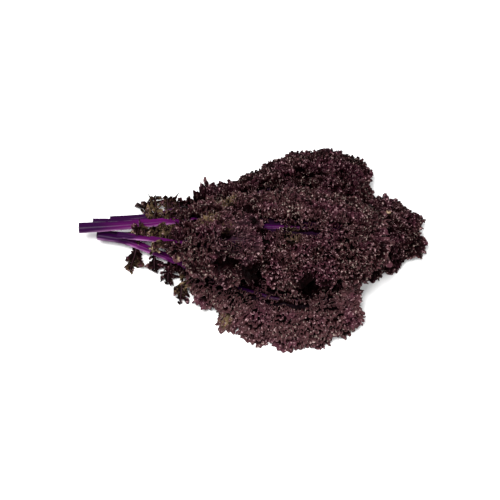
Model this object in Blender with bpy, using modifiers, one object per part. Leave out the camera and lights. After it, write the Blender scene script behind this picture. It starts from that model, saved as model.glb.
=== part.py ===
"""A bunch of purple curly kale, lying on its side as cut.

Six leaves lie in one loose pile, three of them on the table and three on those. Each leaf is two solids:
a stem, which is the petiole and the midrib that it runs on into, and a blade. A blade is one thin arched
sheet with a slot for the midrib. It is ruffled all over, out to its lobed margin, and it is lifted where it
lies on another leaf and pressed flat where it lies on the table. Small leaflets grow from some petioles.

Everything is in metres. X runs from the cut ends to the leaf tips, Y across the bunch and Z up.
The origin is on the table, under the middle of the bunch.
"""

import math
import random

import bmesh
import bpy
from mathutils import Vector
from mathutils.bvhtree import BVHTree

# Thicknesses, and the room between two leaves
blade_thickness = 0.0014
leaflet_thickness = 0.0013
gap = 0.0005

# A blade's outline: how it starts at the petiole, where it is widest, how round its tip is, its lobes, and
# how far the veins lean towards the tip
start_length_share = 0.07
start_width_share = 0.40
widest_place = 0.60
tip_roundness = 2.5
outline_end = 0.985
lobe_length = 0.029
lobe_depth = 0.09
vein_slant = 0.30
narrowest_side = 0.007
slot_gap = 0.0009

# A blade's ruffles: how far apart, and how high at the midrib and at the margin
ruffle_step = 0.0083
strip_count = 6
ruffle_at_midrib = 0.0080
ruffle_at_margin = 0.0072
hollow_share = 0.50
ruffle_spread = 0.3
ruffle_wander = 0.0013
margin_reach = 0.0030

# Stems, and how much larger the guard round a stem is, because its sides are flat
stem_sides = 8
stem_step = 0.016
blade_base_share = 0.62
midrib_share = 0.78
midrib_tip_radius = 0.0011
weld_distance = 0.00001
guard_swell = 1.08

# Leaflets on the petioles: how far they lean towards the tip, how wide they are at the root, how much they
# bulge in the middle, and how far their teeth go in and out
leaflet_rows = 4
leaflet_wave = 0.0016
leaflet_lean = 0.25
leaflet_root_share = 0.45
leaflet_bulge = 0.9
leaflet_notch = 0.8
leaflet_tooth = 1.25

# How a blade gives way to what it lies on
lift_step = 0.0010
steepest_lift = 0.0040
most_lifts = 60
shrink = 0.90
most_shrinks = 30
fold_reach_share = 0.55
ease_share = 0.25
most_eases = 30
lowest_sheet = 0.0002

# Each leaf, the lowest first: its petiole from the cut end, its midrib from the blade's base to the tip, how
# far it leans to +Y in degrees, the blade's half width along its arch, the share of it near the base, the
# arch's radius, the petiole's radius at the cut end, and its leaflets: place along the petiole, side (1 is
# +Y), degrees of rise, length and half width
leaves = (
    {
        "name": "right_leaf",
        "petiole": ((-0.171, 0.0230, 0.0046), (-0.100, 0.0190, 0.0050), (-0.045, 0.0160, 0.0070)),
        "midrib": (
            (-0.010, 0.016, 0.0110), (0.045, 0.018, 0.0230), (0.100, 0.020, 0.0280),
            (0.150, 0.022, 0.0250), (0.193, 0.022, 0.0130),
        ),
        "lean": 0, "half_width": 0.054, "base": 0.24, "arch": 0.054, "radius": 0.0045, "seed": 8,
        "leaflets": (),
    },
    {
        "name": "back_leaf",
        "petiole": ((-0.157, 0.0405, 0.0048), (-0.120, 0.0440, 0.0050), (-0.095, 0.0485, 0.0070)),
        "midrib": (
            (-0.072, 0.053, 0.0100), (-0.022, 0.053, 0.0185), (0.030, 0.073, 0.0265),
            (0.085, 0.088, 0.0275), (0.139, 0.081, 0.0170),
        ),
        "lean": 4, "half_width": 0.048, "base": 0.24, "arch": 0.050, "radius": 0.0044, "seed": 13,
        "leaflets": (
            (0.040, 1, 15, 0.020, 0.0045), (0.052, 1, 35, 0.023, 0.0050), (0.066, 1, 20, 0.018, 0.0050),
        ),
    },
    {
        "name": "front_leaf",
        "petiole": (
            (-0.168, 0.0170, 0.0145), (-0.140, 0.0120, 0.0140), (-0.118, 0.0033, 0.0135),
            (-0.091, -0.0090, 0.0135),
        ),
        "midrib": (
            (-0.062, -0.024, 0.0150), (-0.015, -0.048, 0.0210), (0.035, -0.065, 0.0260),
            (0.080, -0.066, 0.0260), (0.117, -0.057, 0.0150),
        ),
        "lean": -6, "half_width": 0.048, "base": 0.48, "arch": 0.050, "radius": 0.0050, "seed": 21,
        "leaflets": (
            (0.044, -1, -18, 0.029, 0.0055), (0.068, -1, -10, 0.019, 0.0045), (0.088, -1, -14, 0.026, 0.0055),
            (0.104, -1, -12, 0.040, 0.0060),
        ),
    },
    {
        "name": "middle_leaf",
        "petiole": ((-0.175, 0.0340, 0.0140), (-0.140, 0.0340, 0.0145), (-0.100, 0.0330, 0.0180)),
        "midrib": (
            (-0.068, 0.028, 0.0250), (-0.020, 0.018, 0.0400), (0.035, 0.010, 0.0490),
            (0.090, 0.006, 0.0510), (0.142, 0.006, 0.0420),
        ),
        "lean": 0, "half_width": 0.048, "base": 0.30, "arch": 0.058, "radius": 0.0037, "seed": 11,
        "leaflets": (),
    },
    {
        "name": "top_leaf",
        "petiole": ((-0.188, 0.0205, 0.0260), (-0.150, 0.0222, 0.0275), (-0.110, 0.0240, 0.0310)),
        "midrib": (
            (-0.078, 0.023, 0.0390), (-0.035, 0.012, 0.0560), (0.015, 0.001, 0.0700),
            (0.070, -0.004, 0.0740), (0.146, -0.006, 0.0580),
        ),
        "lean": 0, "half_width": 0.061, "base": 0.30, "arch": 0.062, "radius": 0.0058, "seed": 3,
        "leaflets": (
            (0.082, 1, 25, 0.016, 0.0055), (0.068, -1, -25, 0.014, 0.0045), (0.088, -1, -30, 0.022, 0.0055),
        ),
    },
    {
        "name": "small_leaf",
        "petiole": ((-0.145, 0.0120, 0.0260), (-0.115, 0.0060, 0.0310), (-0.092, -0.0010, 0.0390)),
        "midrib": (
            (-0.076, -0.007, 0.0480), (-0.048, -0.015, 0.0640), (-0.018, -0.019, 0.0770),
            (0.014, -0.021, 0.0790),
        ),
        "lean": -8, "half_width": 0.042, "base": 0.34, "arch": 0.044, "radius": 0.0034, "seed": 50,
        "leaflets": (),
    },
)

# The table, which presses the lowest margins flat
table_size = 0.6
table_depth = 0.05

# Surface finishes: base colour, roughness
finishes = {
    "blade": ((0.045, 0.018, 0.026, 1.0), 0.55),
    "stem": ((0.115, 0.012, 0.150, 1.0), 0.35),
}


class Spine:
    """A smooth curve through given points, read by the distance along it."""

    step_count = 24

    def __init__(self, points):
        knots = [Vector(p) for p in points]
        knots = [knots[0] * 2 - knots[1], *knots, knots[-1] * 2 - knots[-2]]
        self.samples = []
        self.knot_index = []
        for i in range(1, len(knots) - 2):
            self.knot_index.append(len(self.samples))
            for k in range(self.step_count):
                self.samples.append(self.between(knots[i - 1 : i + 3], k / self.step_count))
        self.knot_index.append(len(self.samples))
        self.samples.append(knots[-2].copy())
        self.distances = [0.0]
        for a, b in zip(self.samples, self.samples[1:]):
            self.distances.append(self.distances[-1] + (b - a).length)
        self.length = self.distances[-1]

    @staticmethod
    def between(four, t):
        a, b, c, d = four
        bend = (2 * a - 5 * b + 4 * c - d) * t**2 + (3 * b - a - 3 * c + d) * t**3
        return 0.5 * (2 * b + (c - a) * t + bend)

    def point(self, distance):
        for i in range(1, len(self.distances)):
            if self.distances[i] >= distance or i == len(self.distances) - 1:
                share = (distance - self.distances[i - 1]) / (self.distances[i] - self.distances[i - 1])
                return self.samples[i - 1].lerp(self.samples[i], share)

    def frame(self, distance, lean=0.0):
        """The tangent, the way up and the way across, turned about the tangent by the lean."""
        near = 0.002
        low = max(0.0, distance - near)
        high = min(self.length, distance + near)
        along = (self.point(high) - self.point(low)).normalized()
        up = Vector((0, 0, 1))
        up = (up - along * up.dot(along)).normalized()
        across = up.cross(along)
        turned_up = up * math.cos(lean) + across * math.sin(lean)
        return along, turned_up, turned_up.cross(along)


class Leaf:
    """The places that a leaf's solids are built on."""

    def __init__(self, spec):
        self.name = spec["name"]
        self.spine = Spine(spec["petiole"] + spec["midrib"])
        self.blade_start = self.spine.distances[self.spine.knot_index[len(spec["petiole"])]]
        self.blade_length = self.spine.length - self.blade_start
        self.lean = math.radians(spec["lean"])
        self.half_width = spec["half_width"]
        self.base = spec["base"]
        self.arch = spec["arch"]
        self.radius = spec["radius"]
        self.leaflets = spec["leaflets"]
        self.random = random.Random(spec["seed"])
        self.midrib_end = self.blade_start + midrib_share * self.blade_length

    def stem_radius(self, distance):
        """Tapers from the cut end to the blade's base, and on to the midrib's tip."""
        base_radius = self.radius * blade_base_share
        if distance < self.blade_start:
            share = distance / self.blade_start
            return self.radius + (base_radius - self.radius) * share
        share = min(1.0, (distance - self.blade_start) / (self.midrib_end - self.blade_start))
        return base_radius + (midrib_tip_radius - base_radius) * share

    def slot_at(self, along):
        """Half the width of the slot that the midrib lies in."""
        return self.stem_radius(self.blade_start + along) + slot_gap + blade_thickness / 2

    def plain_width(self, along):
        """Half the blade's width at a distance along it, without its lobes."""
        share = along / self.blade_length
        if share < widest_place:
            grown = share / widest_place
            body = self.base + (1 - self.base) * grown * grown * (3 - 2 * grown)
            body *= min(1.0, start_width_share + (1 - start_width_share) * share / start_length_share)
        else:
            body = math.sqrt(1 - ((share - widest_place) / (1 - widest_place)) ** tip_roundness)
        return self.half_width * body

    def width_at(self, along):
        return self.plain_width(along) * (1 + lobe_depth * math.cos(2 * math.pi * along / lobe_length))

    def outline(self):
        """Rows of the blade: how far along its margin and midrib ends are, evenly spaced on the margin."""
        steps = 160
        fine = [(self.blade_length * outline_end * k / steps) for k in range(steps + 1)]
        fine = [(along, self.plain_width(along)) for along in fine]
        lengths = [0.0]
        for a, b in zip(fine, fine[1:]):
            lengths.append(lengths[-1] + math.dist(a, b))
        rows = round(lengths[-1] / ruffle_step)
        k = 0
        ends = []
        for row in range(rows + 1):
            wanted = lengths[-1] * row / rows
            while k < steps - 1 and lengths[k + 1] < wanted:
                k += 1
            share = (wanted - lengths[k]) / (lengths[k + 1] - lengths[k])
            along = fine[k][0] + (fine[k + 1][0] - fine[k][0]) * share
            rest = 1 - along / (self.blade_length * outline_end)
            inner = along - vein_slant * (self.plain_width(along) - self.plain_width(0.0) * rest)
            ends.append((along, max(0.0, inner)))
        return ends

    def on_blade(self, along, across):
        """The point on the arch and its outward normal, at a distance along the blade and one across it."""
        distance = self.blade_start + along
        _, up, side = self.spine.frame(distance, self.lean)
        turn = across / self.arch
        normal = up * math.cos(turn) + side * math.sin(turn)
        return self.spine.point(distance) + (normal - up) * self.arch, normal


def new_material(name):
    colour, roughness = finishes[name]
    material = bpy.data.materials.new(name)
    material.use_nodes = True
    shader = material.node_tree.nodes["Principled BSDF"]
    shader.inputs["Base Color"].default_value = colour
    shader.inputs["Roughness"].default_value = roughness
    shader.inputs["Metallic"].default_value = 0.0
    return material


def grid_mesh(columns, rows):
    """A grid primitive whose vertices are then placed by a rule, with a list of (vertex, column, row)."""
    mesh = bmesh.new()
    bmesh.ops.create_grid(mesh, x_segments=columns, y_segments=rows, size=0.5)
    places = []
    for vertex in mesh.verts:
        column = round((vertex.co.x + 0.5) * columns)
        row = round((vertex.co.y + 0.5) * rows)
        places.append((vertex, column, row))
    return mesh, places


def split_into_triangles(sheet):
    """So that a waved sheet has the same triangles on both faces once it has its thickness."""
    bmesh.ops.triangulate(sheet, faces=sheet.faces, quad_method="SHORT_EDGE")


def finish_sheet(sheet, name, thickness, collection):
    """Makes a sheet an object and gives it its thickness."""
    mesh = bpy.data.meshes.new(name)
    sheet.to_mesh(mesh)
    sheet.free()
    made = bpy.data.objects.new(name, mesh)
    collection.objects.link(made)
    solid = made.modifiers.new("thickness", "SOLIDIFY")
    solid.thickness = thickness
    solid.offset = 0.0
    return made


def plain_blade(leaf):
    """The blade's grid before it is ruffled: (row, side, strip) to (along, across, place, normal)."""
    grid = {}
    for row, (outer, inner) in enumerate(leaf.outline()):
        slot = leaf.slot_at(inner)
        width = max(slot + narrowest_side, leaf.width_at(outer))
        for strip in range(strip_count + 1):
            share = strip / strip_count
            along = inner + (outer - inner) * share
            across = slot + (width - slot) * share
            for side in (-1, 1):
                grid[row, side, strip] = (along, side * across, *leaf.on_blade(along, side * across))
    return grid


def ruffled(leaf, grid, row, side, strip):
    """A grid point pushed out to a crest or in to a hollow, by what the room to its neighbours allows."""
    along, across, place, _ = grid[row, side, strip]
    share = strip / strip_count
    near = [(row - 1, side, strip), (row + 1, side, strip), (row, side, strip - 1), (row, side, strip + 1)]
    room = min((place - grid[key][2]).length for key in near if key in grid)
    cell = min(1.0, room / ruffle_step)
    size = leaf.random.uniform(1 - ruffle_spread, 1 + ruffle_spread)
    wander_along = leaf.random.uniform(-ruffle_wander, ruffle_wander) * cell
    wander_across = leaf.random.uniform(-ruffle_wander, ruffle_wander) * cell
    crest = (row + strip) % 2 == 0
    if strip == strip_count and crest:
        wander_across += side * margin_reach * cell
    height = (ruffle_at_midrib + (ruffle_at_margin - ruffle_at_midrib) * share) * size * cell
    along = min(leaf.blade_length, max(0.0, along + wander_along))
    moved, normal = leaf.on_blade(along, across + wander_across)
    return moved + normal * height * (1.0 if crest else -hollow_share)


def blade_sheet(leaf):
    """The ruffled sheet with its slot, as a bmesh, with each free vertex's anchor at the slot's edge."""
    grid = plain_blade(leaf)
    last_row = max(key[0] for key in grid)
    sheet, places = grid_mesh(last_row, 2 * strip_count + 1)
    anchors = {}
    keys = {}
    for vertex, row, column in places:
        side = -1 if column <= strip_count else 1
        strip = strip_count - column if side < 0 else column - strip_count - 1
        keys[vertex] = (row, side, strip)
        vertex.co = grid[row, side, strip][2]
        if strip > 0:
            vertex.co = ruffled(leaf, grid, row, side, strip)
            anchors[vertex] = grid[row, side, 0][2]
    slot_end = midrib_share * leaf.blade_length + gap + blade_thickness
    slot_faces = []
    for face in sheet.faces:
        starts = min(grid[keys[v]][0] for v in face.verts)
        if all(keys[v][2] == 0 for v in face.verts) and starts < slot_end:
            slot_faces.append(face)
    bmesh.ops.delete(sheet, geom=slot_faces, context="FACES")
    split_into_triangles(sheet)
    return sheet, anchors


def touched(sheet, free, guards):
    """The free vertices of the sheet's faces that cross a guard."""
    sheet.faces.ensure_lookup_table()
    tree = BVHTree.FromBMesh(sheet)
    found = set()
    for guard in guards:
        for face, _ in tree.overlap(guard):
            found.update(v for v in sheet.faces[face].verts if v in free)
    return found


def lie_on(sheet, free, guards):
    """Lifts the sheet where it would cross what it lies on. The lift falls off no faster than a limit."""
    lifts = dict.fromkeys(free, 0.0)
    for _ in range(most_lifts):
        found = touched(sheet, free, guards)
        if not found:
            return
        waiting = list(found)
        for vertex in found:
            lifts[vertex] += lift_step
            vertex.co.z += lift_step
        while waiting:
            vertex = waiting.pop()
            for edge in vertex.link_edges:
                other = edge.other_vert(vertex)
                lowest = lifts[vertex] - steepest_lift
                if other in free and lifts[other] < lowest:
                    other.co.z += lowest - lifts[other]
                    lifts[other] = lowest
                    waiting.append(other)


def draw_back(sheet, anchors, guards):
    """Draws the sheet back to its root where it would still cross a guard."""
    for _ in range(most_shrinks):
        found = touched(sheet, anchors, guards)
        if not found:
            return
        for vertex in found:
            vertex.co = anchors[vertex] + (vertex.co - anchors[vertex]) * shrink


def press_down(sheet):
    for vertex in sheet.verts:
        vertex.co.z = max(vertex.co.z, lowest_sheet)


def two_faces(sheet, reach):
    """The points and faces of a sheet's two sides, each moved out by a reach."""
    sheet.normal_update()
    sheet.verts.index_update()
    points = []
    for way in (1, -1):
        points += [v.co + v.normal * reach * way for v in sheet.verts]
    count = len(sheet.verts)
    faces = [[v.index for v in f.verts] for f in sheet.faces]
    return points, faces + [[i + count for i in f] for f in faces]


def guard_of(sheet, reach):
    """What another leaf has to stay out of."""
    return BVHTree.FromPolygons(*two_faces(sheet, reach))


def ease_folds(sheet, free):
    """Flattens the folds that are so sharp that the sheet, once thick, would cross itself."""
    for _ in range(most_eases):
        points, faces = two_faces(sheet, blade_thickness * fold_reach_share)
        tree = BVHTree.FromPolygons(points, faces)
        count = len(sheet.verts)
        sharp = set()
        for a, b in tree.overlap(tree):
            if not set(faces[a]) & set(faces[b]):
                sharp.update(i % count for i in faces[a] + faces[b])
        if not sharp:
            return
        sheet.verts.ensure_lookup_table()
        moves = {}
        for vertex in (sheet.verts[i] for i in sorted(sharp)):
            if vertex in free:
                near = [edge.other_vert(vertex).co for edge in vertex.link_edges]
                moves[vertex] = (sum(near, Vector()) / len(near) - vertex.co) * ease_share
        for vertex, move in moves.items():
            vertex.co += move


def stem_guard(leaf):
    """A tube round a petiole and midrib, and a thin one on its axis, which catches what lies inside."""
    points = []
    faces = []
    rings = round(leaf.midrib_end / stem_step)
    for reach in (gap + blade_thickness / 2, None):
        first = len(points)
        for i in range(rings + 1):
            distance = leaf.midrib_end * i / rings
            _, up, side = leaf.spine.frame(distance)
            radius = leaf.stem_radius(distance)
            radius = (radius + reach) * guard_swell if reach else radius / 2
            for k in range(stem_sides):
                turn = 2 * math.pi * k / stem_sides
                outward = up * math.cos(turn) + side * math.sin(turn)
                points.append(leaf.spine.point(distance) + outward * radius)
                if i < rings:
                    a = first + i * stem_sides + k
                    b = first + i * stem_sides + (k + 1) % stem_sides
                    faces.append((a, b, b + stem_sides, a + stem_sides))
    return BVHTree.FromPolygons(points, faces)


def leaflet_sheet(leaf, place, side, rise, length, half_width):
    """A small ragged leaflet that grows from the middle of the petiole, as a bmesh with its anchors."""
    along, up, across = leaf.spine.frame(place)
    root = leaf.spine.point(place)
    rise = math.radians(rise)
    growth = (across * side * math.cos(rise) + up * math.sin(rise) + along * leaflet_lean).normalized()
    wide = (along - growth * along.dot(growth)).normalized()
    normal = wide.cross(growth)
    sheet, places = grid_mesh(leaflet_rows, 2)
    anchors = {}
    for vertex, row, column in places:
        share = row / leaflet_rows
        width = half_width * (leaflet_root_share + leaflet_bulge * math.sin(math.pi * share))
        width *= leaflet_tooth if row % 2 else leaflet_notch
        wave = leaflet_wave * (1 if (row + column) % 2 else -1) * min(1.0, 2 * share)
        vertex.co = root + growth * length * share + wide * width * (column - 1) + normal * wave
        if row:
            anchors[vertex] = root + growth * leaf.stem_radius(place) * 0.5
    split_into_triangles(sheet)
    return sheet, anchors


def join_into(target, collection):
    """One Boolean union of the target with all of a collection, applied. Removes the collection's objects."""
    union = target.modifiers.new("union", "BOOLEAN")
    union.operation = "UNION"
    union.operand_type = "COLLECTION"
    union.collection = collection
    union.solver = "EXACT"
    bpy.context.view_layer.update()
    evaluated = target.evaluated_get(bpy.context.evaluated_depsgraph_get())
    joined = bpy.data.meshes.new_from_object(evaluated)
    target.modifiers.clear()
    target.data = joined
    for piece in list(collection.objects):
        bpy.data.objects.remove(piece)
    bpy.data.collections.remove(collection)


def stem_tube(leaf, parts):
    """The petiole and midrib: one tapered tube from the cut end to the midrib's tip, as a mesh object."""
    count = round(leaf.midrib_end / stem_step)
    curve = bpy.data.curves.new(leaf.name + "_line", "CURVE")
    curve.dimensions = "3D"
    curve.bevel_depth = 1.0
    curve.bevel_resolution = (stem_sides - 4) // 2
    curve.use_fill_caps = True
    line = curve.splines.new("POLY")
    line.points.add(count)
    for i, point in enumerate(line.points):
        distance = leaf.midrib_end * i / count
        point.co = (*leaf.spine.point(distance), 1)
        point.radius = leaf.stem_radius(distance)
    drawn = bpy.data.objects.new(leaf.name + "_line", curve)
    parts.objects.link(drawn)
    bpy.context.view_layer.update()
    mesh = bpy.data.meshes.new_from_object(drawn.evaluated_get(bpy.context.evaluated_depsgraph_get()))
    bpy.data.objects.remove(drawn)
    welded = bmesh.new()
    welded.from_mesh(mesh)
    bmesh.ops.remove_doubles(welded, verts=welded.verts, dist=weld_distance)
    welded.to_mesh(mesh)
    welded.free()
    stem = bpy.data.objects.new(leaf.name + "_stem", mesh)
    parts.objects.link(stem)
    return stem


def make_stem(leaf, guards, parts, material):
    """The stem with its leaflets fused on. Returns the guards of the leaflets."""
    stem = stem_tube(leaf, parts)
    leaflet_guards = []
    if leaf.leaflets:
        group = bpy.data.collections.new(leaf.name + "_leaflets")
        bpy.context.scene.collection.children.link(group)
        for number, spec in enumerate(leaf.leaflets):
            sheet, anchors = leaflet_sheet(leaf, *spec)
            press_down(sheet)
            draw_back(sheet, anchors, guards)
            leaflet_guards.append(guard_of(sheet, gap + blade_thickness))
            finish_sheet(sheet, f"{leaf.name}_leaflet_{number}", leaflet_thickness, group)
        join_into(stem, group)
    stem.data.materials.clear()
    stem.data.materials.append(material)
    return leaflet_guards


def make_table_cutter(cutters):
    """A slab under the table's surface, which trims the margins that would go through it."""
    bpy.ops.mesh.primitive_cube_add(size=1, location=(0, 0, -table_depth / 2))
    slab = bpy.context.object
    slab.name = "table_cutter"
    slab.dimensions = (table_size, table_size, table_depth)
    bpy.ops.object.transform_apply(location=False, rotation=False, scale=True)
    slab.display_type = "WIRE"
    slab.hide_render = True
    for owner in list(slab.users_collection):
        owner.objects.unlink(slab)
    cutters.objects.link(slab)
    return slab


def press_on_table(piece, slab):
    trim = piece.modifiers.new("table", "BOOLEAN")
    trim.operation = "DIFFERENCE"
    trim.object = slab


def centre_on_origin(parts):
    """Moves all parts so that the middle of their common box is over the origin."""
    bpy.context.view_layer.update()
    depsgraph = bpy.context.evaluated_depsgraph_get()
    corners = []
    for part in parts.objects:
        corners += [part.matrix_world @ Vector(c) for c in part.evaluated_get(depsgraph).bound_box]
    for axis in (0, 1):
        middle = (min(c[axis] for c in corners) + max(c[axis] for c in corners)) / 2
        for part in parts.objects:
            part.location[axis] -= middle


def main():
    for old in list(bpy.data.objects):
        bpy.data.objects.remove(old)
    parts = bpy.data.collections.new("purple_kale_bunch")
    cutters = bpy.data.collections.new("cutters")
    for collection in (parts, cutters):
        bpy.context.scene.collection.children.link(collection)
    materials = {name: new_material(name) for name in finishes}
    slab = make_table_cutter(cutters)
    bunch = [Leaf(spec) for spec in leaves]
    stem_guards = {leaf: stem_guard(leaf) for leaf in bunch}
    leaflet_guards = []
    for leaf in bunch:
        others = [stem_guards[other] for other in bunch if other is not leaf]
        leaflet_guards += make_stem(leaf, others + leaflet_guards, parts, materials["stem"])
    below = []
    for leaf in bunch:
        sheet, anchors = blade_sheet(leaf)
        press_down(sheet)
        lie_on(sheet, set(anchors), below)
        others = [stem_guards[other] for other in bunch if other is not leaf]
        draw_back(sheet, anchors, others + leaflet_guards + below)
        ease_folds(sheet, set(anchors))
        below += [stem_guards[leaf], guard_of(sheet, gap + blade_thickness)]
        blade = finish_sheet(sheet, leaf.name + "_blade", blade_thickness, parts)
        blade.data.materials.append(materials["blade"])
        press_on_table(blade, slab)
    centre_on_origin(parts)


main()
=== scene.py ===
import math
import bpy
import numpy as np
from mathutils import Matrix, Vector
from mathutils.bvhtree import BVHTree


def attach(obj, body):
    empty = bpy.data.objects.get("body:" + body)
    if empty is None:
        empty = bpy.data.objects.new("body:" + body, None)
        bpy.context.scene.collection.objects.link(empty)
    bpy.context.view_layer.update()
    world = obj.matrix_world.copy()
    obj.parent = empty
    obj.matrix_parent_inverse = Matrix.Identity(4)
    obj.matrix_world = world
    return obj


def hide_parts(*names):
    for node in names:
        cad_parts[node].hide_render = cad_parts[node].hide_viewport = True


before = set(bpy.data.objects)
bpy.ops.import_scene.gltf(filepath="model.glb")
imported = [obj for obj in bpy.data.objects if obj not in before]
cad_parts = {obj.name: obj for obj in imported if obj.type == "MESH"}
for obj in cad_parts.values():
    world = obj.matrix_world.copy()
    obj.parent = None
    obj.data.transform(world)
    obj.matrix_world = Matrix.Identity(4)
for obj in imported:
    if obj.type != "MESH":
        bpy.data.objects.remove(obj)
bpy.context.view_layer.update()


# One socket of a node tree, so that sums and products on it add the nodes that work them out
class Value:
    def __init__(self, tree, socket=None):
        self.tree = tree
        self.socket = socket

    def make(self, kind, settings=None, inputs=None, output=0):
        node = self.tree.nodes.new(kind)
        for name, setting in (settings or {}).items():
            if name == "stops":
                fillRamp(node.color_ramp, setting)
            else:
                setattr(node, name, setting)
        for key, given in (inputs or {}).items():
            for one in given if isinstance(given, list) else [given]:
                if isinstance(one, Value):
                    self.tree.links.new(one.socket, node.inputs[key])
                else:
                    node.inputs[key].default_value = one
        return Value(self.tree, node.outputs[output])

    def math(self, operation, *others):
        return self.make("ShaderNodeMath", {"operation": operation}, dict(enumerate((self, *others))))

    def __add__(self, other):
        return self.math("ADD", other)

    def __mul__(self, other):
        return self.math("MULTIPLY", other)

    def __sub__(self, other):
        return self.math("SUBTRACT", other)

    def __rsub__(self, other):
        return (self * -1.0) + other

    def __truediv__(self, other):
        return self.math("DIVIDE", other)

    def __rtruediv__(self, other):
        return (self ** -1.0) * other

    def __pow__(self, other):
        return self.math("POWER", other)

    __radd__ = __add__
    __rmul__ = __mul__

    def sine(self):
        return self.math("SINE")

    def cosine(self):
        return self.math("COSINE")

    def step(self, low, high):
        smooth = {"interpolation_type": "SMOOTHSTEP"}
        return self.make("ShaderNodeMapRange", smooth, {0: self, 1: low, 2: high})

    def plus(self, other):
        return self.make("ShaderNodeVectorMath", {"operation": "ADD"}, {0: self, 1: other})

    def times(self, factor):
        return self.make("ShaderNodeVectorMath", {"operation": "SCALE"}, {0: self, 3: factor})

    def part(self, axis):
        return self.make("ShaderNodeSeparateXYZ", {}, {0: self}, axis)

    def blend(self, other, factor):
        other = other if isinstance(other, Value) else (*other, 1.0)
        return self.make("ShaderNodeMix", {"data_type": "RGBA"}, {0: factor, 6: self, 7: other}, 2)


def fillRamp(ramp, stops):
    while len(ramp.elements) < len(stops):
        ramp.elements.new(1.0)
    for element, (place, colour) in zip(ramp.elements, stops):
        element.position = place
        element.color = (*colour, 1.0)


def addObject(name, data):
    made = bpy.data.objects.new(name, data)
    bpy.context.scene.collection.objects.link(made)
    return made


def setField(mesh, name, values):
    values = np.ravel(values)
    wide = len(values) > len(mesh.vertices)
    attribute = mesh.attributes.new(name, "FLOAT_VECTOR" if wide else "FLOAT", "POINT")
    attribute.data.foreach_set("vector" if wide else "value", values)


# Geometry Nodes: a tree with named inputs, the attributes that it reads and keeps, and a plain mesh from it
def newTree(name, numbers, wholes=()):
    tree = bpy.data.node_groups.new(name, "GeometryNodeTree")
    tree.interface.new_socket("Geometry", in_out="OUTPUT", socket_type="NodeSocketGeometry")
    inputs = {"Geometry": ["Geometry"], "Float": numbers, "Int": wholes, "Material": ["Material"]}
    for kind, labels in inputs.items():
        for label in labels:
            tree.interface.new_socket(label, in_out="INPUT", socket_type="NodeSocket" + kind)
    start = tree.nodes.new("NodeGroupInput")
    return Value(tree), {socket.name: Value(tree, socket) for socket in start.outputs if socket.name}


def readName(start, name, kind="FLOAT"):
    return start.make("GeometryNodeInputNamedAttribute", {"data_type": kind}, {"Name": name})


def keep(geometry, name, value, kind="FLOAT", domain="POINT"):
    given = {"Geometry": geometry, "Name": name, "Value": value}
    return geometry.make("GeometryNodeStoreNamedAttribute", {"data_type": kind, "domain": domain}, given)


def setPlace(geometry, **given):
    return geometry.make("GeometryNodeSetPosition", {}, {"Geometry": geometry, **given})


def keepAbove(geometry, ground):
    place = geometry.make("GeometryNodeInputPosition")
    height = place.part(2).math("MAXIMUM", ground)
    spot = geometry.make("ShaderNodeCombineXYZ", {}, {0: place.part(0), 1: place.part(1), 2: height})
    return setPlace(geometry, Position=spot)


def evenLines(given):
    lines = given["Geometry"].make("GeometryNodeMeshToCurve", {}, {"Mesh": given["Geometry"]})
    lengths = {"Curve": lines, "Length": given["Step"]}
    return lines.make("GeometryNodeResampleCurve", {"mode": "LENGTH"}, lengths)


# The place that a noise reads, moved by the seed
def seeded(place, seed):
    return place.plus(place.make("ShaderNodeCombineXYZ", {}, {0: seed, 1: seed}))


def endTree(geometry, material):
    whole = geometry.make("GeometryNodeRealizeInstances", {}, {"Geometry": geometry})
    smooth = geometry.make("GeometryNodeSetShadeSmooth", {}, {"Geometry": whole, "Shade Smooth": True})
    done = geometry.make("GeometryNodeSetMaterial", {}, {"Geometry": smooth, "Material": material})
    geometry.tree.links.new(done.socket, geometry.tree.nodes.new("NodeGroupOutput").inputs[0])
    return geometry.tree


# Runs a tree on a seed mesh. Its input "Ripple Size" reads the setting "rippleSize"
def grow(name, seedMesh, tree, settings, material, seed=0):
    given = {**settings, "material": material, "seed": float(seed)}
    seedPiece = addObject(name + "Seed", seedMesh)
    modifier = seedPiece.modifiers.new("tree", "NODES")
    modifier.node_group = tree
    for item in tree.interface.items_tree:
        key = item.name[0].lower() + item.name[1:].replace(" ", "")
        if item.in_out == "INPUT" and key in given:
            modifier[item.identifier] = given[key]
    if "thickness" in settings:
        wall = seedPiece.modifiers.new("thickness", "SOLIDIFY")
        wall.thickness = settings["thickness"]
        wall.offset = 0.0
    bpy.context.view_layer.update()
    finished = seedPiece.evaluated_get(bpy.context.evaluated_depsgraph_get())
    mesh = bpy.data.meshes.new_from_object(finished)
    bpy.data.objects.remove(seedPiece)
    mesh.set_sharp_from_angle(angle=math.radians(60))
    print(name, "triangles", sum(len(p.vertices) - 2 for p in mesh.polygons))
    return addObject(name, mesh)


# Finishes

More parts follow.
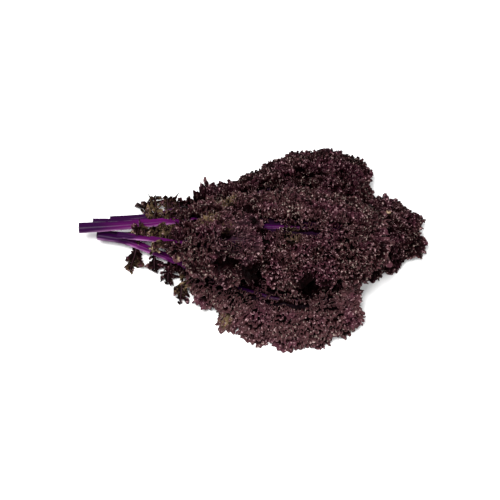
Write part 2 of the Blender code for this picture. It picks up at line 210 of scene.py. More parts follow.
# Colours run from painted shade in the pits of the curls up to painted light at their edges. A range gives
# where a noise or a field begins to count and where it counts in full
bladeLook = {
    "pit": (0.0010, 0.0, 0.0001), "deep": (0.0030, 0.0003, 0.0006), "mid": (0.0112, 0.0027, 0.0035),
    "edge": (0.056, 0.0230, 0.0255), "places": (0.0, 0.52, 0.82, 1.0),
    "grain": 560.0, "grainShare": 0.80, "broadScale": 75.0, "broadShare": 0.3,
    "curlScale": 185.0, "curlShare": 0.70,
    "plum": (0.062, 0.0110, 0.0300), "patchScale": 42.0, "plumRange": (0.50, 0.62),
    "plumHeight": (0.5, 1.1), "plumShare": 0.34,
    # painted highlights: the colours of the pale glints on the curls, and where they show
    "fleck": (0.290, 0.1720, 0.1850), "paleFleck": (0.265, 0.2050, 0.1780), "paleRange": (0.52, 0.40),
    "fleckScale": 430.0, "fleckRange": (0.575, 0.675), "fleckRise": (0.40, 0.90), "fleckCurl": (0.36, 0.56),
    "violet": (0.020, 0.002, 0.026), "blush": (0.046, 0.0190, 0.0270), "blushRange": (0.35, 0.6),
    "bumpScale": 620.0, "bumpDepth": 0.0010, "bumpShare": 0.8,
    "sheen": 0.02, "roughness": 0.32, "roughnessSpread": 0.4,
    "tan": (0.420, 0.300, 0.190), "tanScale": 230.0, "tanRange": (0.40, 0.52), "tanShare": 0.85,
    "spotCore": 0.4,
    "olive": (0.130, 0.088, 0.044), "oliveScale": 260.0, "oliveRange": (0.43, 0.56), "oliveShare": 0.8,
    # where the leaves are tan, and where they are olive: the place and how far it spreads
    "tanSpots": (
        ((-0.102, -0.010, 0.034), 0.010), ((-0.095, -0.022, 0.030), 0.010),
        ((-0.075, -0.030, 0.045), 0.006), ((-0.134, 0.006, 0.030), 0.010),
        ((0.153, 0.031, 0.032), 0.0034),
    ),
    "spots": (
        ((-0.025, 0.032, 0.048), 0.020), ((-0.067, -0.004, 0.040), 0.016),
        ((0.132, 0.024, 0.036), 0.014), ((-0.090, 0.010, 0.030), 0.020),
        ((-0.044, 0.006, 0.066), 0.015), ((-0.022, -0.012, 0.072), 0.014),
        ((0.045, -0.020, 0.076), 0.012), ((-0.078, -0.050, 0.015), 0.016),
        ((-0.026, -0.090, 0.010), 0.011), ((-0.128, -0.040, 0.012), 0.030),
        ((-0.100, -0.060, 0.012), 0.022), ((-0.105, 0.040, 0.030), 0.034),
        ((-0.100, 0.0, 0.030), 0.028),
    ),
}
stemLook = {
    "dark": (0.016, 0.0006, 0.022), "violet": (0.072, 0.0022, 0.064), "magenta": (0.215, 0.0110, 0.165),
    "places": (0.25, 0.5, 0.8), "streakLength": 10.0, "streakWidth": 190.0, "streakShare": 0.55,
    "grownTo": 0.22, "grownShare": 0.26, "sideShare": 0.10, "dimShare": 0.25,
    # lilac streaks, shown as a painted highlight on the stalk's lower side
    "lilac": (0.420, 0.200, 0.400), "lilacRange": (0.40, 0.62), "lilacSide": (0.66, 0.20),
    "lilacRidge": 0.4, "lilacShare": 0.75,
    "leafy": (0.020, 0.0060, 0.0090), "leafyRadii": (0.0022, 0.0011),
    "cut": (0.110, 0.050, 0.095), "cutScale": 500.0, "cutRange": (0.3, 0.6),
    "sheen": 0.07, "roughness": 0.22, "roughnessSpread": 0.25,
}


def newMaterial(name, sheen):
    material = bpy.data.materials.new(name)
    material.use_nodes = True
    shader = material.node_tree.nodes["Principled BSDF"]
    shader.inputs["Specular IOR Level"].default_value = sheen
    return material, Value(material.node_tree), shader


def plug(value, shader, name):
    value.tree.links.new(value.socket, shader.inputs[name])


def noise(start, place, scale, detail=2.0):
    return start.make("ShaderNodeTexNoise", {}, {"Vector": place, "Scale": scale, "Detail": detail})


def stored(start, name):
    return start.make("ShaderNodeAttribute", {"attribute_name": name}, {}, 2)


def ramp(start, look, names, factor):
    stops = list(zip(look["places"], (look[name] for name in names)))
    return start.make("ShaderNodeValToRGB", {"stops": stops}, {0: factor})


# How much a place is in one of the spots
def spotsOn(start, place, spots):
    near = None
    for middle, reach in spots:
        away = start.make("ShaderNodeVectorMath", {"operation": "DISTANCE"}, {0: place, 1: middle}, 1)
        spot = away.step(reach, reach * bladeLook["spotCore"])
        near = spot if near is None else near.math("MAXIMUM", spot)
    return near


def makeBladeMaterial():
    look = bladeLook
    material, start, shader = newMaterial("curledLeaf", look["sheen"])
    place = start.make("ShaderNodeTexCoord", {}, {}, 3)
    rise = stored(start, "rise")
    grain = noise(start, place, look["grain"], 1.0)
    broad = noise(start, place, look["broadScale"])
    curl = noise(start, place, look["curlScale"], 1.0)
    patch = noise(start, place, look["patchScale"])
    height = rise + (grain - 0.5) * look["grainShare"] + (broad - 0.5) * look["broadShare"]
    height = height + (curl - 0.5) * look["curlShare"]
    # painted shade and light: the curls are near black deep in their pits and paler at their edges
    colour = ramp(start, look, ("pit", "deep", "mid", "edge"), height)
    olive = noise(start, place, look["oliveScale"]).step(*look["oliveRange"]) * rise
    olive = spotsOn(start, place, look["spots"]) * olive
    colour = colour.blend(look["olive"], olive * look["oliveShare"])
    plum = patch.step(*look["plumRange"]) * height.step(*look["plumHeight"])
    colour = colour.blend(look["plum"], plum * look["plumShare"])
    colour = colour.blend(look["violet"], stored(start, "rib"))
    colour = colour.blend(look["blush"], stored(start, "blush") * broad.step(*look["blushRange"]))
    # painted highlights: pale glints dotted on the high parts of the curls, standing in for light caught by
    # their waxy tips
    glintColours = {
        0: patch.step(*look["paleRange"]), 6: (*look["fleck"], 1.0), 7: (*look["paleFleck"], 1.0),
    }
    glintColour = start.make("ShaderNodeMix", {"data_type": "RGBA"}, glintColours, 2)
    glints = noise(start, place, look["fleckScale"], 1.0).step(*look["fleckRange"])
    colour = colour.blend(glintColour, glints * rise.step(*look["fleckRise"]) * curl.step(*look["fleckCurl"]))
    tan = noise(start, place, look["tanScale"]).step(*look["tanRange"])
    colour = colour.blend(look["tan"], spotsOn(start, place, look["tanSpots"]) * tan * look["tanShare"])
    rough = noise(start, place, look["bumpScale"], 1.0)
    depths = {"Strength": look["bumpShare"], "Distance": look["bumpDepth"], "Height": rough}
    plug(start.make("ShaderNodeBump", {}, depths), shader, "Normal")
    plug(colour, shader, "Base Color")
    plug(grain * look["roughnessSpread"] + look["roughness"], shader, "Roughness")
    return material


def makeStemMaterial():
    look = stemLook
    material, start, shader = newMaterial("leafStalk", look["sheen"])
    place = start.make("ShaderNodeTexCoord", {}, {}, 3)
    side = stored(start, "side")
    size = (look["streakLength"], look["streakWidth"], look["streakWidth"])
    streak = noise(start, start.make("ShaderNodeMapping", {}, {"Vector": place, "Scale": size}), 1.0, 3.0)
    grown = stored(start, "grown").step(0.0, look["grownTo"]) * look["grownShare"]
    # the streaks are the stalk's own; its top is a little darker, as painted shade
    tone = streak * look["streakShare"] + grown - side * look["sideShare"]
    # painted shade: the stalk is darker where it lies in shade, set for each leaf and deeper under the
    # frills
    tone = tone - stored(start, "dim") * look["dimShare"]
    colour = ramp(start, look, ("dark", "violet", "magenta"), tone)
    # painted highlight: the lilac streaks show only on the stalk's lower side, where light catches it
    lilac = stored(start, "ridge") * look["lilacRidge"] + (1 - look["lilacRidge"])
    lilac = lilac * streak.step(*look["lilacRange"]) * side.step(*look["lilacSide"])
    colour = colour.blend(look["lilac"], lilac * look["lilacShare"])
    colour = colour.blend(look["leafy"], stored(start, "thick").step(*look["leafyRadii"]))
    cut = noise(start, place, look["cutScale"]).step(*look["cutRange"])
    colour = colour.blend(look["cut"], stored(start, "cut") * cut)
    plug(colour, shader, "Base Color")
    plug(streak * look["roughnessSpread"] + look["roughness"], shader, "Roughness")
    return material


bladeMaterial = makeBladeMaterial()
stemMaterial = makeStemMaterial()
print("finishes made")


# Leaves

# What a leaf has unless it gives its own. The frills part over the midrib at a place along x, which is
# here a metre away, so nowhere
plainLeaf = {"open": (1.0, 0.01), "calm": 0.0, "ribShow": 0.0, "darkSpots": (), "leaflets": ()}

# The bunch's six leaves, the lowest first. The points of each petiole and midrib, the lean in degrees, the
# half width along the arch, its share near the base, and the radii of the arch and the petiole are the
# solids' own. A trim is a place, its spread and a factor on the frills' height there. A leaflet is its
# place along the petiole, its side, its rise in degrees, its length and its half width. Calm is how much
# blush shows, ribShow how violet the midrib is, and the stalk shade how dark the stalk is painted as
# shade. Tone is painted light or shade on all of the leaf's frills, paler on the front leaf and darker on
# the right and back leaves. The shadow spots, each a place and its spread, are painted shadows where the
# gaps between the leaves and under their curled edges look dark
leaves = {
    "right_leaf": {
        "petiole": ((-0.171, 0.0230, 0.0046), (-0.100, 0.0190, 0.0050), (-0.045, 0.0160, 0.0070)),
        "midrib": (
            (-0.010, 0.016, 0.0110), (0.045, 0.018, 0.0230), (0.100, 0.020, 0.0280),
            (0.150, 0.022, 0.0250), (0.193, 0.022, 0.0130),
        ),
        "lean": 0, "halfWidth": 0.054, "base": 0.24, "arch": 0.054, "radius": 0.0045, "seed": 3,
        "dim": 0.2, "tone": -0.13, "sprigsFrom": 0.064,
        "trims": (((0.166, -0.030), 0.022, 0.30), ((0.190, 0.016), 0.022, 0.60)),
    },
    "back_leaf": {
        "petiole": ((-0.157, 0.0405, 0.0048), (-0.120, 0.0440, 0.0050), (-0.095, 0.0485, 0.0070)),
        "midrib": (
            (-0.072, 0.053, 0.0100), (-0.022, 0.053, 0.0185), (0.030, 0.073, 0.0265),
            (0.085, 0.088, 0.0275), (0.139, 0.081, 0.0170),
        ),
        "lean": 4, "halfWidth": 0.048, "base": 0.24, "arch": 0.050, "radius": 0.0044, "seed": 7,
        "dim": 0.9, "tone": -0.14, "sprigsFrom": 0.070,
        "trims": (
            ((0.008, 0.090), 0.022, 0.42), ((-0.052, 0.070), 0.022, 2.0), ((0.126, 0.096), 0.014, 0.5),
        ),
        "leaflets": (
            (0.040, 1, 15, 0.020, 0.0045), (0.052, 1, 35, 0.023, 0.0050), (0.066, 1, 20, 0.018, 0.0050),
        ),
    },
    "front_leaf": {
        "petiole": (
            (-0.168, 0.0170, 0.0145), (-0.140, 0.0120, 0.0140), (-0.118, 0.0033, 0.0135),
            (-0.091, -0.0090, 0.0135),
        ),
        "midrib": (
            (-0.062, -0.024, 0.0150), (-0.015, -0.048, 0.0210), (0.035, -0.065, 0.0260),
            (0.080, -0.066, 0.0260), (0.117, -0.057, 0.0150),
        ),
        "lean": -6, "halfWidth": 0.048, "base": 0.48, "arch": 0.050, "radius": 0.0050, "seed": 11,
        "dim": 0.1, "tone": 0.34, "ribShow": 0.1, "sprigsFrom": 0.082,
        "darkSpots": (
            ((0.061, -0.060), 0.017), ((0.085, -0.054), 0.014), ((0.004, -0.044), 0.018),
            ((0.030, -0.052), 0.012),
        ),
        "trims": (
            ((0.123, -0.066), 0.018, 1.8), ((0.106, -0.108), 0.016, 0.28), ((0.080, -0.116), 0.012, 0.5),
            ((-0.018, -0.100), 0.016, 1.6), ((-0.042, -0.076), 0.013, 0.45),
        ),
        "leaflets": (
            (0.044, -1, -18, 0.029, 0.0055), (0.068, -1, -10, 0.019, 0.0045),
            (0.088, -1, -14, 0.026, 0.0055), (0.104, -1, -12, 0.040, 0.0060),
        ),
    },
    "middle_leaf": {
        "petiole": ((-0.175, 0.0340, 0.0140), (-0.140, 0.0340, 0.0145), (-0.100, 0.0330, 0.0180)),
        "midrib": (
            (-0.068, 0.028, 0.0250), (-0.020, 0.018, 0.0400), (0.035, 0.010, 0.0490),
            (0.090, 0.006, 0.0510), (0.142, 0.006, 0.0420),
        ),
        "lean": 0, "halfWidth": 0.048, "base": 0.30, "arch": 0.058, "radius": 0.0037, "seed": 19,
        "dim": 0.6, "tone": -0.03, "sprigsFrom": 0.062,
        "trims": (((0.060, -0.050), 0.040, 0.40), ((0.010, -0.045), 0.020, 0.40)),
    },
    "top_leaf": {
        "petiole": ((-0.188, 0.0205, 0.0260), (-0.150, 0.0222, 0.0275), (-0.110, 0.0240, 0.0310)),
        "midrib": (
            (-0.078, 0.023, 0.0390), (-0.035, 0.012, 0.0560), (0.015, 0.001, 0.0700),
            (0.070, -0.004, 0.0740), (0.146, -0.006, 0.0580),
        ),
        "lean": 0, "halfWidth": 0.061, "base": 0.30, "arch": 0.062, "radius": 0.0058, "seed": 23,
        "open": (0.023, 0.011), "dim": 0.0, "tone": -0.02, "ribShow": 0.50, "sprigsFrom": 0.090,
        "darkSpots": (
            ((0.060, -0.068), 0.010), ((0.080, -0.066), 0.007), ((0.061, -0.060), 0.008),
        ),
        "trims": (
            ((0.060, -0.066), 0.018, 0.20), ((0.090, -0.060), 0.016, 0.50), ((0.010, -0.052), 0.018, 0.35),
        ),
        "leaflets": (
            (0.082, 1, 25, 0.016, 0.0055), (0.068, -1, -25, 0.014, 0.0045), (0.088, -1, -30, 0.022, 0.0055),
        ),
    },
    "small_leaf": {
        "petiole": ((-0.145, 0.0120, 0.0260), (-0.115, 0.0060, 0.0310), (-0.092, -0.0010, 0.0390)),
        "midrib": (
            (-0.076, -0.007, 0.0480), (-0.048, -0.015, 0.0640), (-0.018, -0.019, 0.0770),
            (0.014, -0.021, 0.0790),
        ),
        "lean": -8, "halfWidth": 0.042, "base": 0.34, "arch": 0.044, "radius": 0.0034, "seed": 31,
        "open": (-0.068, 0.008), "calm": 0.7, "dim": 0.2, "tone": 0.0, "ribShow": 0.3,
        "sprigsFrom": 0.018,
        "darkSpots": (
            ((-0.030, -0.0420), 0.0055), ((-0.022, -0.0425), 0.0058), ((-0.014, -0.0440), 0.0048),
            ((-0.003, -0.052), 0.0060), ((0.005, -0.052), 0.0075), ((0.013, -0.051), 0.0070),
            ((0.002, -0.006), 0.0050), ((0.011, -0.018), 0.0060), ((-0.023, -0.020), 0.0055),
        ),
        "trims": (
            ((-0.004, -0.024), 0.024, 0.50), ((0.016, 0.010), 0.020, 0.25), ((0.010, -0.056), 0.010, 0.30),
        ),
    },
}

# How every blade's outline runs, and how its surface is read off the solid
outline = {
    "startLength": 0.07, "startWidth": 0.40, "widest": 0.60, "tipRoundness": 2.5, "end": 0.985,
    "veinSlant": 0.30, "leastWidth": 0.007, "slot": 0.0032, "lobe": 0.029, "lobeDepth": 0.09,
    "rows": 64, "strips": 14, "knotSteps": 24, "fineSteps": 400, "frameReach": 0.002, "ground": 0.0006,
    "smoothing": 24, "furthest": 0.030, "bladeBaseShare": 0.62, "midribShare": 0.78, "midribTip": 0.0011,
    "ringReach": 0.008,
}


# A smooth curve through a leaf's points, read by the distance along it
class Spine:
    def __init__(self, knots, shift):
        knots = [np.array(k) + shift for k in knots]
        knots = [knots[0] * 2 - knots[1], *knots, knots[-1] * 2 - knots[-2]]
        self.places = [0]
        points = []
        for a, b, c, d in zip(knots, knots[1:], knots[2:], knots[3:]):
            for t in np.arange(outline["knotSteps"]) / outline["knotSteps"]:
                bend = (2 * a - 5 * b + 4 * c - d) * t**2 + (3 * b - a - 3 * c + d) * t**3
                points.append(0.5 * (2 * b + (c - a) * t + bend))
            self.places.append(len(points))
        points.append(knots[-2])
        self.points = np.array(points)
        steps = np.linalg.norm(np.diff(self.points, axis=0), axis=1)
        self.distances = np.concatenate([[0.0], np.cumsum(steps)])
        self.length = self.distances[-1]

    def point(self, distance):
        distance = np.asarray(distance, float)
        found = [np.interp(distance, self.distances, self.points[:, axis]) for axis in range(3)]
        return np.stack(found, axis=-1)

    def frame(self, distance, lean=0.0):
        near = outline["frameReach"]
        low = np.clip(np.asarray(distance, float) - near, 0, self.length - 2 * near)
        along = unit(self.point(low + 2 * near) - self.point(low))
        up = unit(np.array([0.0, 0.0, 1.0]) - along * along[..., 2:3])
        across = np.cross(up, along)
        up = up * math.cos(lean) + across * math.sin(lean)
        return along, up, np.cross(up, along)


def unit(vectors):
    return vectors / np.maximum(np.linalg.norm(vectors, axis=-1, keepdims=True), 1e-9)


# Where the solids' frame lies from the points above, read off the ring of vertices at a cut end
def findShift():
    start = np.array(leaves["small_leaf"]["petiole"][0])
    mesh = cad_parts["small_leaf_stem"].data
    places = np.array([v.co for v in mesh.vertices])
    ring = places[np.linalg.norm(places - start, axis=1) < outline["ringReach"]]
    ring = np.unique(ring.round(6), axis=0)
    return ring.mean(axis=0) - start


# One leaf's smooth surface: a grid of points from the midrib's slot to the margin, laid on its CAD solid
class Blade:
    def __init__(self, name, settings, shift):
        self.name = name
        self.settings = settings
        self.spine = Spine(settings["petiole"] + settings["midrib"], shift)
        self.start = self.spine.distances[self.spine.places[len(settings["petiole"])]]
        self.length = self.spine.length - self.start
        self.midribEnd = self.start + outline["midribShare"] * self.length
        self.makeGrid()
        self.layOnSolid()

    def stemRadius(self, distance):
        radius = self.settings["radius"]
        base = radius * outline["bladeBaseShare"]
        places = [0.0, self.start, self.midribEnd]
        return np.interp(distance, places, [radius, base, outline["midribTip"]])

    def plainWidth(self, along):
        share = along / self.length
        grown = np.minimum(share / outline["widest"], 1.0)
        body = self.settings["base"] + (1 - self.settings["base"]) * grown * grown * (3 - 2 * grown)
        start = outline["startWidth"] + (1 - outline["startWidth"]) * share / outline["startLength"]
        body = body * np.minimum(1.0, start)
        tip = np.clip((share - outline["widest"]) / (1 - outline["widest"]), 0.0, 1.0)
        body = np.where(tip > 0, np.sqrt(1 - tip ** outline["tipRoundness"]), body)
        return self.settings["halfWidth"] * body

    def makeGrid(self):
        fine = np.linspace(0.0, self.length * outline["end"], outline["fineSteps"])
        widths = self.plainWidth(fine)
        margin = np.concatenate([[0.0], np.cumsum(np.hypot(np.diff(fine), np.diff(widths)))])
        self.marginLength = margin[-1]
        outer = np.interp(np.linspace(0.0, margin[-1], outline["rows"] + 1), margin, fine)
        rest = 1 - outer / (self.length * outline["end"])
        inner = outer - outline["veinSlant"] * (self.plainWidth(outer) - self.plainWidth(0.0) * rest)
        inner = np.maximum(inner, 0.0)
        slot = self.stemRadius(self.start + inner) + outline["slot"] / 2
        self.lobes = np.cos(2 * math.pi * outer / outline["lobe"])
        lobed = self.plainWidth(outer) * (1 + outline["lobeDepth"] * self.lobes)
        width = np.maximum(slot + outline["leastWidth"], lobed)
        self.shares = np.linspace(-1.0, 1.0, 2 * outline["strips"] + 1)
        size = np.abs(self.shares)
        along = inner[:, None] + (outer - inner)[:, None] * size
        across = np.sign(self.shares) * (slot[:, None] + (width - slot)[:, None] * size)
        _, up, side = self.spine.frame(self.start + along, math.radians(self.settings["lean"]))
        turn = (across / self.settings["arch"])[..., None]
        normal = up * np.cos(turn) + side * np.sin(turn)
        self.points = self.spine.point(self.start + along) + (normal - up) * self.settings["arch"]
        self.widths = np.hypot(width - slot, outer - inner)

    # Moves the grid to the nearest places on the solid, evened out so that its ruffles don't show
    def layOnSolid(self):
        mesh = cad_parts[self.name + "_blade"].data
        solid = BVHTree.FromPolygons([v.co for v in mesh.vertices], [p.vertices for p in mesh.polygons])
        moves = np.zeros_like(self.points)
        for index in np.ndindex(self.points.shape[:2]):
            near = solid.find_nearest(Vector(self.points[index]), outline["furthest"])[0]
            if near is not None:
                moves[index] = np.array(near) - self.points[index]
        for _ in range(outline["smoothing"]):
            moves = evened(moves)
        self.points = self.points + moves
        self.points[..., 2] = np.maximum(self.points[..., 2], outline["ground"])
        alongWay = np.gradient(self.points, axis=0)
        acrossWay = np.gradient(self.points, axis=1)
        self.normals = unit(np.cross(alongWay, acrossWay))

    def sample(self, field, rows, shares):
        rows = np.clip(np.asarray(rows, float), 0, outline["rows"] - 1e-6)
        columns = np.clip((np.asarray(shares) + 1) * outline["strips"], 0, 2 * outline["strips"] - 1e-6)
        r = rows.astype(int)
        c = columns.astype(int)
        fr = (rows - r)[:, None]
        fc = (columns - c)[:, None]
        low = field[r, c] * (1 - fc) + field[r, c + 1] * fc
        high = field[r + 1, c] * (1 - fc) + field[r + 1, c + 1] * fc
        return low * (1 - fr) + high * fr

    def faces(self, order):
        rows, columns = self.points.shape[:2]
        index = np.arange(rows * columns).reshape(rows, columns)
        corners = (index[:-1, :-1], index[1:, :-1], index[1:, 1:], index[:-1, 1:])
        return np.stack([corners[i] for i in order], axis=-1).reshape(-1, 4).tolist()

    def tree(self):
        return BVHTree.FromPolygons(self.points.reshape(-1, 3).tolist(), self.faces((0, 1, 2, 3)))


def evened(field):
    wide = np.pad(field, ((1, 1), (1, 1), (0, 0)), mode="edge")
    sides = wide[:-2, 1:-1] + wide[2:, 1:-1] + wide[1:-1, :-2] + wide[1:-1, 2:]
    return field * 0.5 + sides * 0.125


shift = findShift()
blades = {name: Blade(name, {**plainLeaf, **settings}, shift) for name, settings in leaves.items()}
print("leaf surfaces", len(blades), "shift", shift.round(5).tolist())


# Frills: long curled bands that stand on a blade in rings, from its margin inwards
frill = {
    # the rings: where they start, how far apart they are, and how far the innermost stays from the midrib
    "first": 0.0030, "skirtGap": 0.001, "spacing": 0.0045, "most": 13, "midribClear": 0.0060,
    "rowStep": 0.5, "fewestRows": 6, "tipStep": 0.0008, "fewestPoints": 4,
    # places in from the margin, with the lean outwards in degrees and the height there
    "places": (0.0, 0.009, 0.020, 0.034), "leans": (68.0, 38.0, 18.0, 8.0),
    "reaches": (0.0100, 0.0095, 0.0086, 0.0078), "skirtLean": 112.0, "skirtReach": 0.0085,
    # over the midrib the frills lean in, and more so at the blade's base, but not where the leaf is open
    "closeWidth": 0.016, "closeLean": 30.0, "ribReach": 0.0088, "ribOpen": 0.35, "openLean": 45.0,
    "baseClose": 0.024, "baseReach": 0.9, "baseLean": -22.0, "openInset": 0.004,
    "ribInsets": (0.0022, 0.0064, 0.0106), "ribLeans": (-38.0, -22.0, -8.0), "ribEnd": 0.94,
    "ribFurthest": 0.9, "ribFullWidth": 0.010, "ribLeast": 0.6, "ribRoom": 0.002,
    # the curls: their length along the band on the heads and at the bases, and their depth as a share of it
    "headWave": 0.0041, "baseWave": 0.0076, "headFrom": -0.055, "headTo": 0.010, "swing": 0.50,
    "fullSwing": 0.006, "ringPhase": 1000, "ribPhase": 900,
    # the band: its steps and layers, and how it drifts, ripples, frays, wanders, bends and curls over
    "step": 0.00054, "bands": 4, "drift": 0.0008, "ripple": 0.0021, "rippleSize": 0.0009,
    "tooth": 0.0010, "uneven": 1.35, "wander": 0.0090, "bend": 1.2, "curl": 0.45,
    "broadScale": 62.0, "slowScale": 150.0, "quickScale": 420.0, "turnWander": 7.0, "rippleWander": 9.0,
    "swingGrowth": 0.9, "rippleGrowth": 1.8, "toothGrowth": 5.0, "toothSeed": 5,
    # the margin's lobes and scallops
    "lobeReach": 0.36, "lobeFade": 0.013, "scallop": 0.0145, "scallopReach": 0.95,
    "scallopRound": 0.6, "scallopMiddle": 0.62,
    # the room below a leaf above, the least height made, the band's wall and its height over the table
    "clear": 0.0015, "least": 0.0034, "thickness": 0.0004, "ground": 0.0006,
    # how often a path, its two ways, its height and its shade are evened out
    "pathEven": 3, "upEven": 8, "outEven": 4, "reachEven": 2, "shadeEven": 6,
    # the tones are darker below 0 and paler above it. The skirt's is painted shade under the margin, and
    # the shadow tone paints the shadows at a leaf's shadow spots
    "skirtTone": -0.40, "marginTone": 0.22, "marginWidth": 0.006, "leafletTone": -0.12, "darkTone": -1.5,
    "trimLean": 0.6, "blushShare": 0.7, "blushFade": 1.5,
    # the frills of a leaf are dark where they are this near to the margin of a leaf above
    "shadeTone": -0.60, "shadeWays": ((0.0, 0.004), (0.0, -0.004), (-0.005, 0.0)),
    "shadeDirection": (0.0, -0.42, 0.91), "shadeHeight": 0.09,
}


def makeFrillTree():
    numbers = ("Step", "Drift", "Ripple", "Ripple Size", "Tooth", "Uneven", "Wander", "Bend", "Curl",
               "Ground", "Seed")
    start, given = newTree("frill", numbers, ["Bands"])
    lines = evenLines(given)
    place = start.make("GeometryNodeInputPosition")
    lines = keep(lines, "root", place, "FLOAT_VECTOR")
    lines = keep(lines, "way", start.make("GeometryNodeInputTangent"), "FLOAT_VECTOR")
    lines = keep(lines, "along", start.make("GeometryNodeSplineParameter", {}, {}, 1))
    profile = start.make("GeometryNodeCurvePrimitiveLine", {}, {"End": (0.001, 0.0, 0.0)})
    profile = start.make("GeometryNodeResampleCurve", {}, {"Curve": profile, "Count": given["Bands"]})
    profile = keep(profile, "rise", start.make("GeometryNodeSplineParameter"))
    band = start.make("GeometryNodeCurveToMesh", {}, {"Curve": lines, "Profile Curve": profile})

    root, up, out, way = (readName(start, name, "FLOAT_VECTOR") for name in ("root", "up", "out", "way"))
    along, rise, reach = (readName(start, name) for name in ("along", "rise", "reach"))
    moved = seeded(root, given["Seed"])
    scales = (frill["broadScale"], frill["slowScale"], frill["quickScale"])
    broad, slow, quick = (noise(start, moved, scale, 1.0) - 0.5 for scale in scales)
    turn = readName(start, "phase") + slow * frill["turnWander"]
    bend = readName(start, "lean") + rise * (slow * given["Bend"] * 2.0 + given["Curl"] * rise)
    tall = reach * (1.0 + (slow + quick) * given["Uneven"]) * rise
    side = turn.sine() * readName(start, "swing") * rise ** frill["swingGrowth"]
    drift = (turn * 2.0).sine() * given["Drift"] * rise * -1.0
    rising = up.times(bend.cosine()).plus(out.times(bend.sine()))
    sidewards = out.times(bend.cosine()).plus(up.times(bend.sine() * -1.0))
    spot = root.plus(out.times(broad * given["Wander"])).plus(rising.times(tall))
    band = setPlace(band, Position=spot.plus(sidewards.times(side)).plus(way.times(drift)))

    normal = start.make("GeometryNodeInputNormal")
    wobble = along * (2 * math.pi) / given["Ripple"] + quick * frill["rippleWander"]
    ripple = wobble.sine() * given["Ripple Size"] * rise ** frill["rippleGrowth"]
    index = start.make("GeometryNodeInputIndex")
    draw = {2: -1.0, 3: 1.0, 7: index, 8: frill["toothSeed"]}
    chance = start.make("FunctionNodeRandomValue", {}, draw, 1)
    tooth = chance * given["Tooth"] * rise ** frill["toothGrowth"]
    band = setPlace(band, Offset=normal.times(ripple).plus(rising.times(tooth)))
    band = keepAbove(band, given["Ground"])
    # the tone scales the stored rise, so that the frills' painted light and shade make their colour paler
    # or darker
    band = keep(band, "rise", rise * (readName(start, "tone") + 1.0))
    return endTree(band, given["Material"])


# The line that one ring stands on: out along one side, round the tip and back along the other
def ringPath(blade, inset):
    rows = outline["rows"]
    fits = np.nonzero(blade.widths - inset > frill["midribClear"])[0]
    if len(fits) < frill["fewestRows"]:
        return None
    last = min(rows - inset * rows / blade.marginLength, fits[-1])
    side = np.arange(fits[0], last, frill["rowStep"])
    widths = np.maximum(np.interp(side, np.arange(rows + 1), blade.widths), inset + frill["midribClear"])
    sideShares = 1 - inset / widths
    count = 2 + int(sideShares[-1] * widths[-1] / frill["tipStep"])
    tipShares = np.linspace(-sideShares[-1], sideShares[-1], count)[1:-1]
    pathRows = np.concatenate([side, np.full(len(tipShares), last), side[::-1]])
    pathShares = np.concatenate([-sideShares, tipShares, sideShares[::-1]])
    rooms = np.concatenate([widths - inset, np.abs(tipShares) * widths[-1], (widths - inset)[::-1]])
    return pathRows, pathShares, rooms


# Lines for a tree to follow, with what it needs to know at every point
class Lines:
    def __init__(self):
        self.points = []
        self.edges = []
        self.fields = {}

    def add(self, place, **fields):
        first = len(self.points)
        self.points += place.tolist()
        self.edges += [(first + i, first + i + 1) for i in range(len(place) - 1)]
        for name, values in fields.items():
            self.fields.setdefault(name, []).extend(np.ravel(values).tolist())

    def mesh(self, name):
        mesh = bpy.data.meshes.new(name)
        mesh.from_pydata(self.points, self.edges, [])
        for field, values in self.fields.items():
            setField(mesh, field, values)
        return mesh


def eased(values, times):
    values = values.copy()
    for _ in range(times):
        values[1:-1] = values[1:-1] * 0.5 + (values[:-2] + values[2:]) * 0.25
    return values


def lengthsAlong(place):
    return np.concatenate([[0.0], np.cumsum(np.linalg.norm(np.diff(place, axis=0), axis=1))])


# How long and how deep the curls are at each point, and how far through them it is
def curls(place, start):
    share = np.clip((place[:, 0] - frill["headFrom"]) / (frill["headTo"] - frill["headFrom"]), 0, 1)
    wave = frill["baseWave"] + (frill["headWave"] - frill["baseWave"]) * share
    turns = np.diff(lengthsAlong(place)) * 2 * math.pi / wave[1:]
    return start + np.concatenate([[0.0], np.cumsum(turns)]), wave * frill["swing"]


# How tall the frill may be at each point before it meets a leaf above, and nothing where there is no room
def cutShort(place, rising, reach, above):
    reach = np.array(reach)
    for i, (spot, way) in enumerate(zip(place, rising)):
        for other in above:
            distance = other.ray_cast(Vector(spot), Vector(way), reach[i] + frill["clear"])[3]
            if distance is not None:
                reach[i] = max(0.0, distance - frill["clear"])
    return reach


# How far each point is in the dark beside or under a leaf above
def shaded(place, above):
    up = Vector(frill["shadeDirection"])
    dark = np.zeros(len(place))
    for i, spot in enumerate(place):
        for x, y in frill["shadeWays"]:
            start = Vector(spot) + Vector((x, y, 0.0))
            if any(other.ray_cast(start, up, frill["shadeHeight"])[0] for other in above):
                dark[i] = 1.0
                break
    return eased(dark, frill["shadeEven"])


# 1 at a place seen from above, and less away from it
def nearness(place, middle, spread):
    return np.exp(-(np.hypot(place[..., 0] - middle[0], place[..., 1] - middle[1]) / spread) ** 2)


# How much blush is at a place: it lies round the first of the leaf's trims
def calmAt(blade, place):
    middle, spread, _ = blade.settings["trims"][0]
    return blade.settings["calm"] * nearness(place, middle, spread)


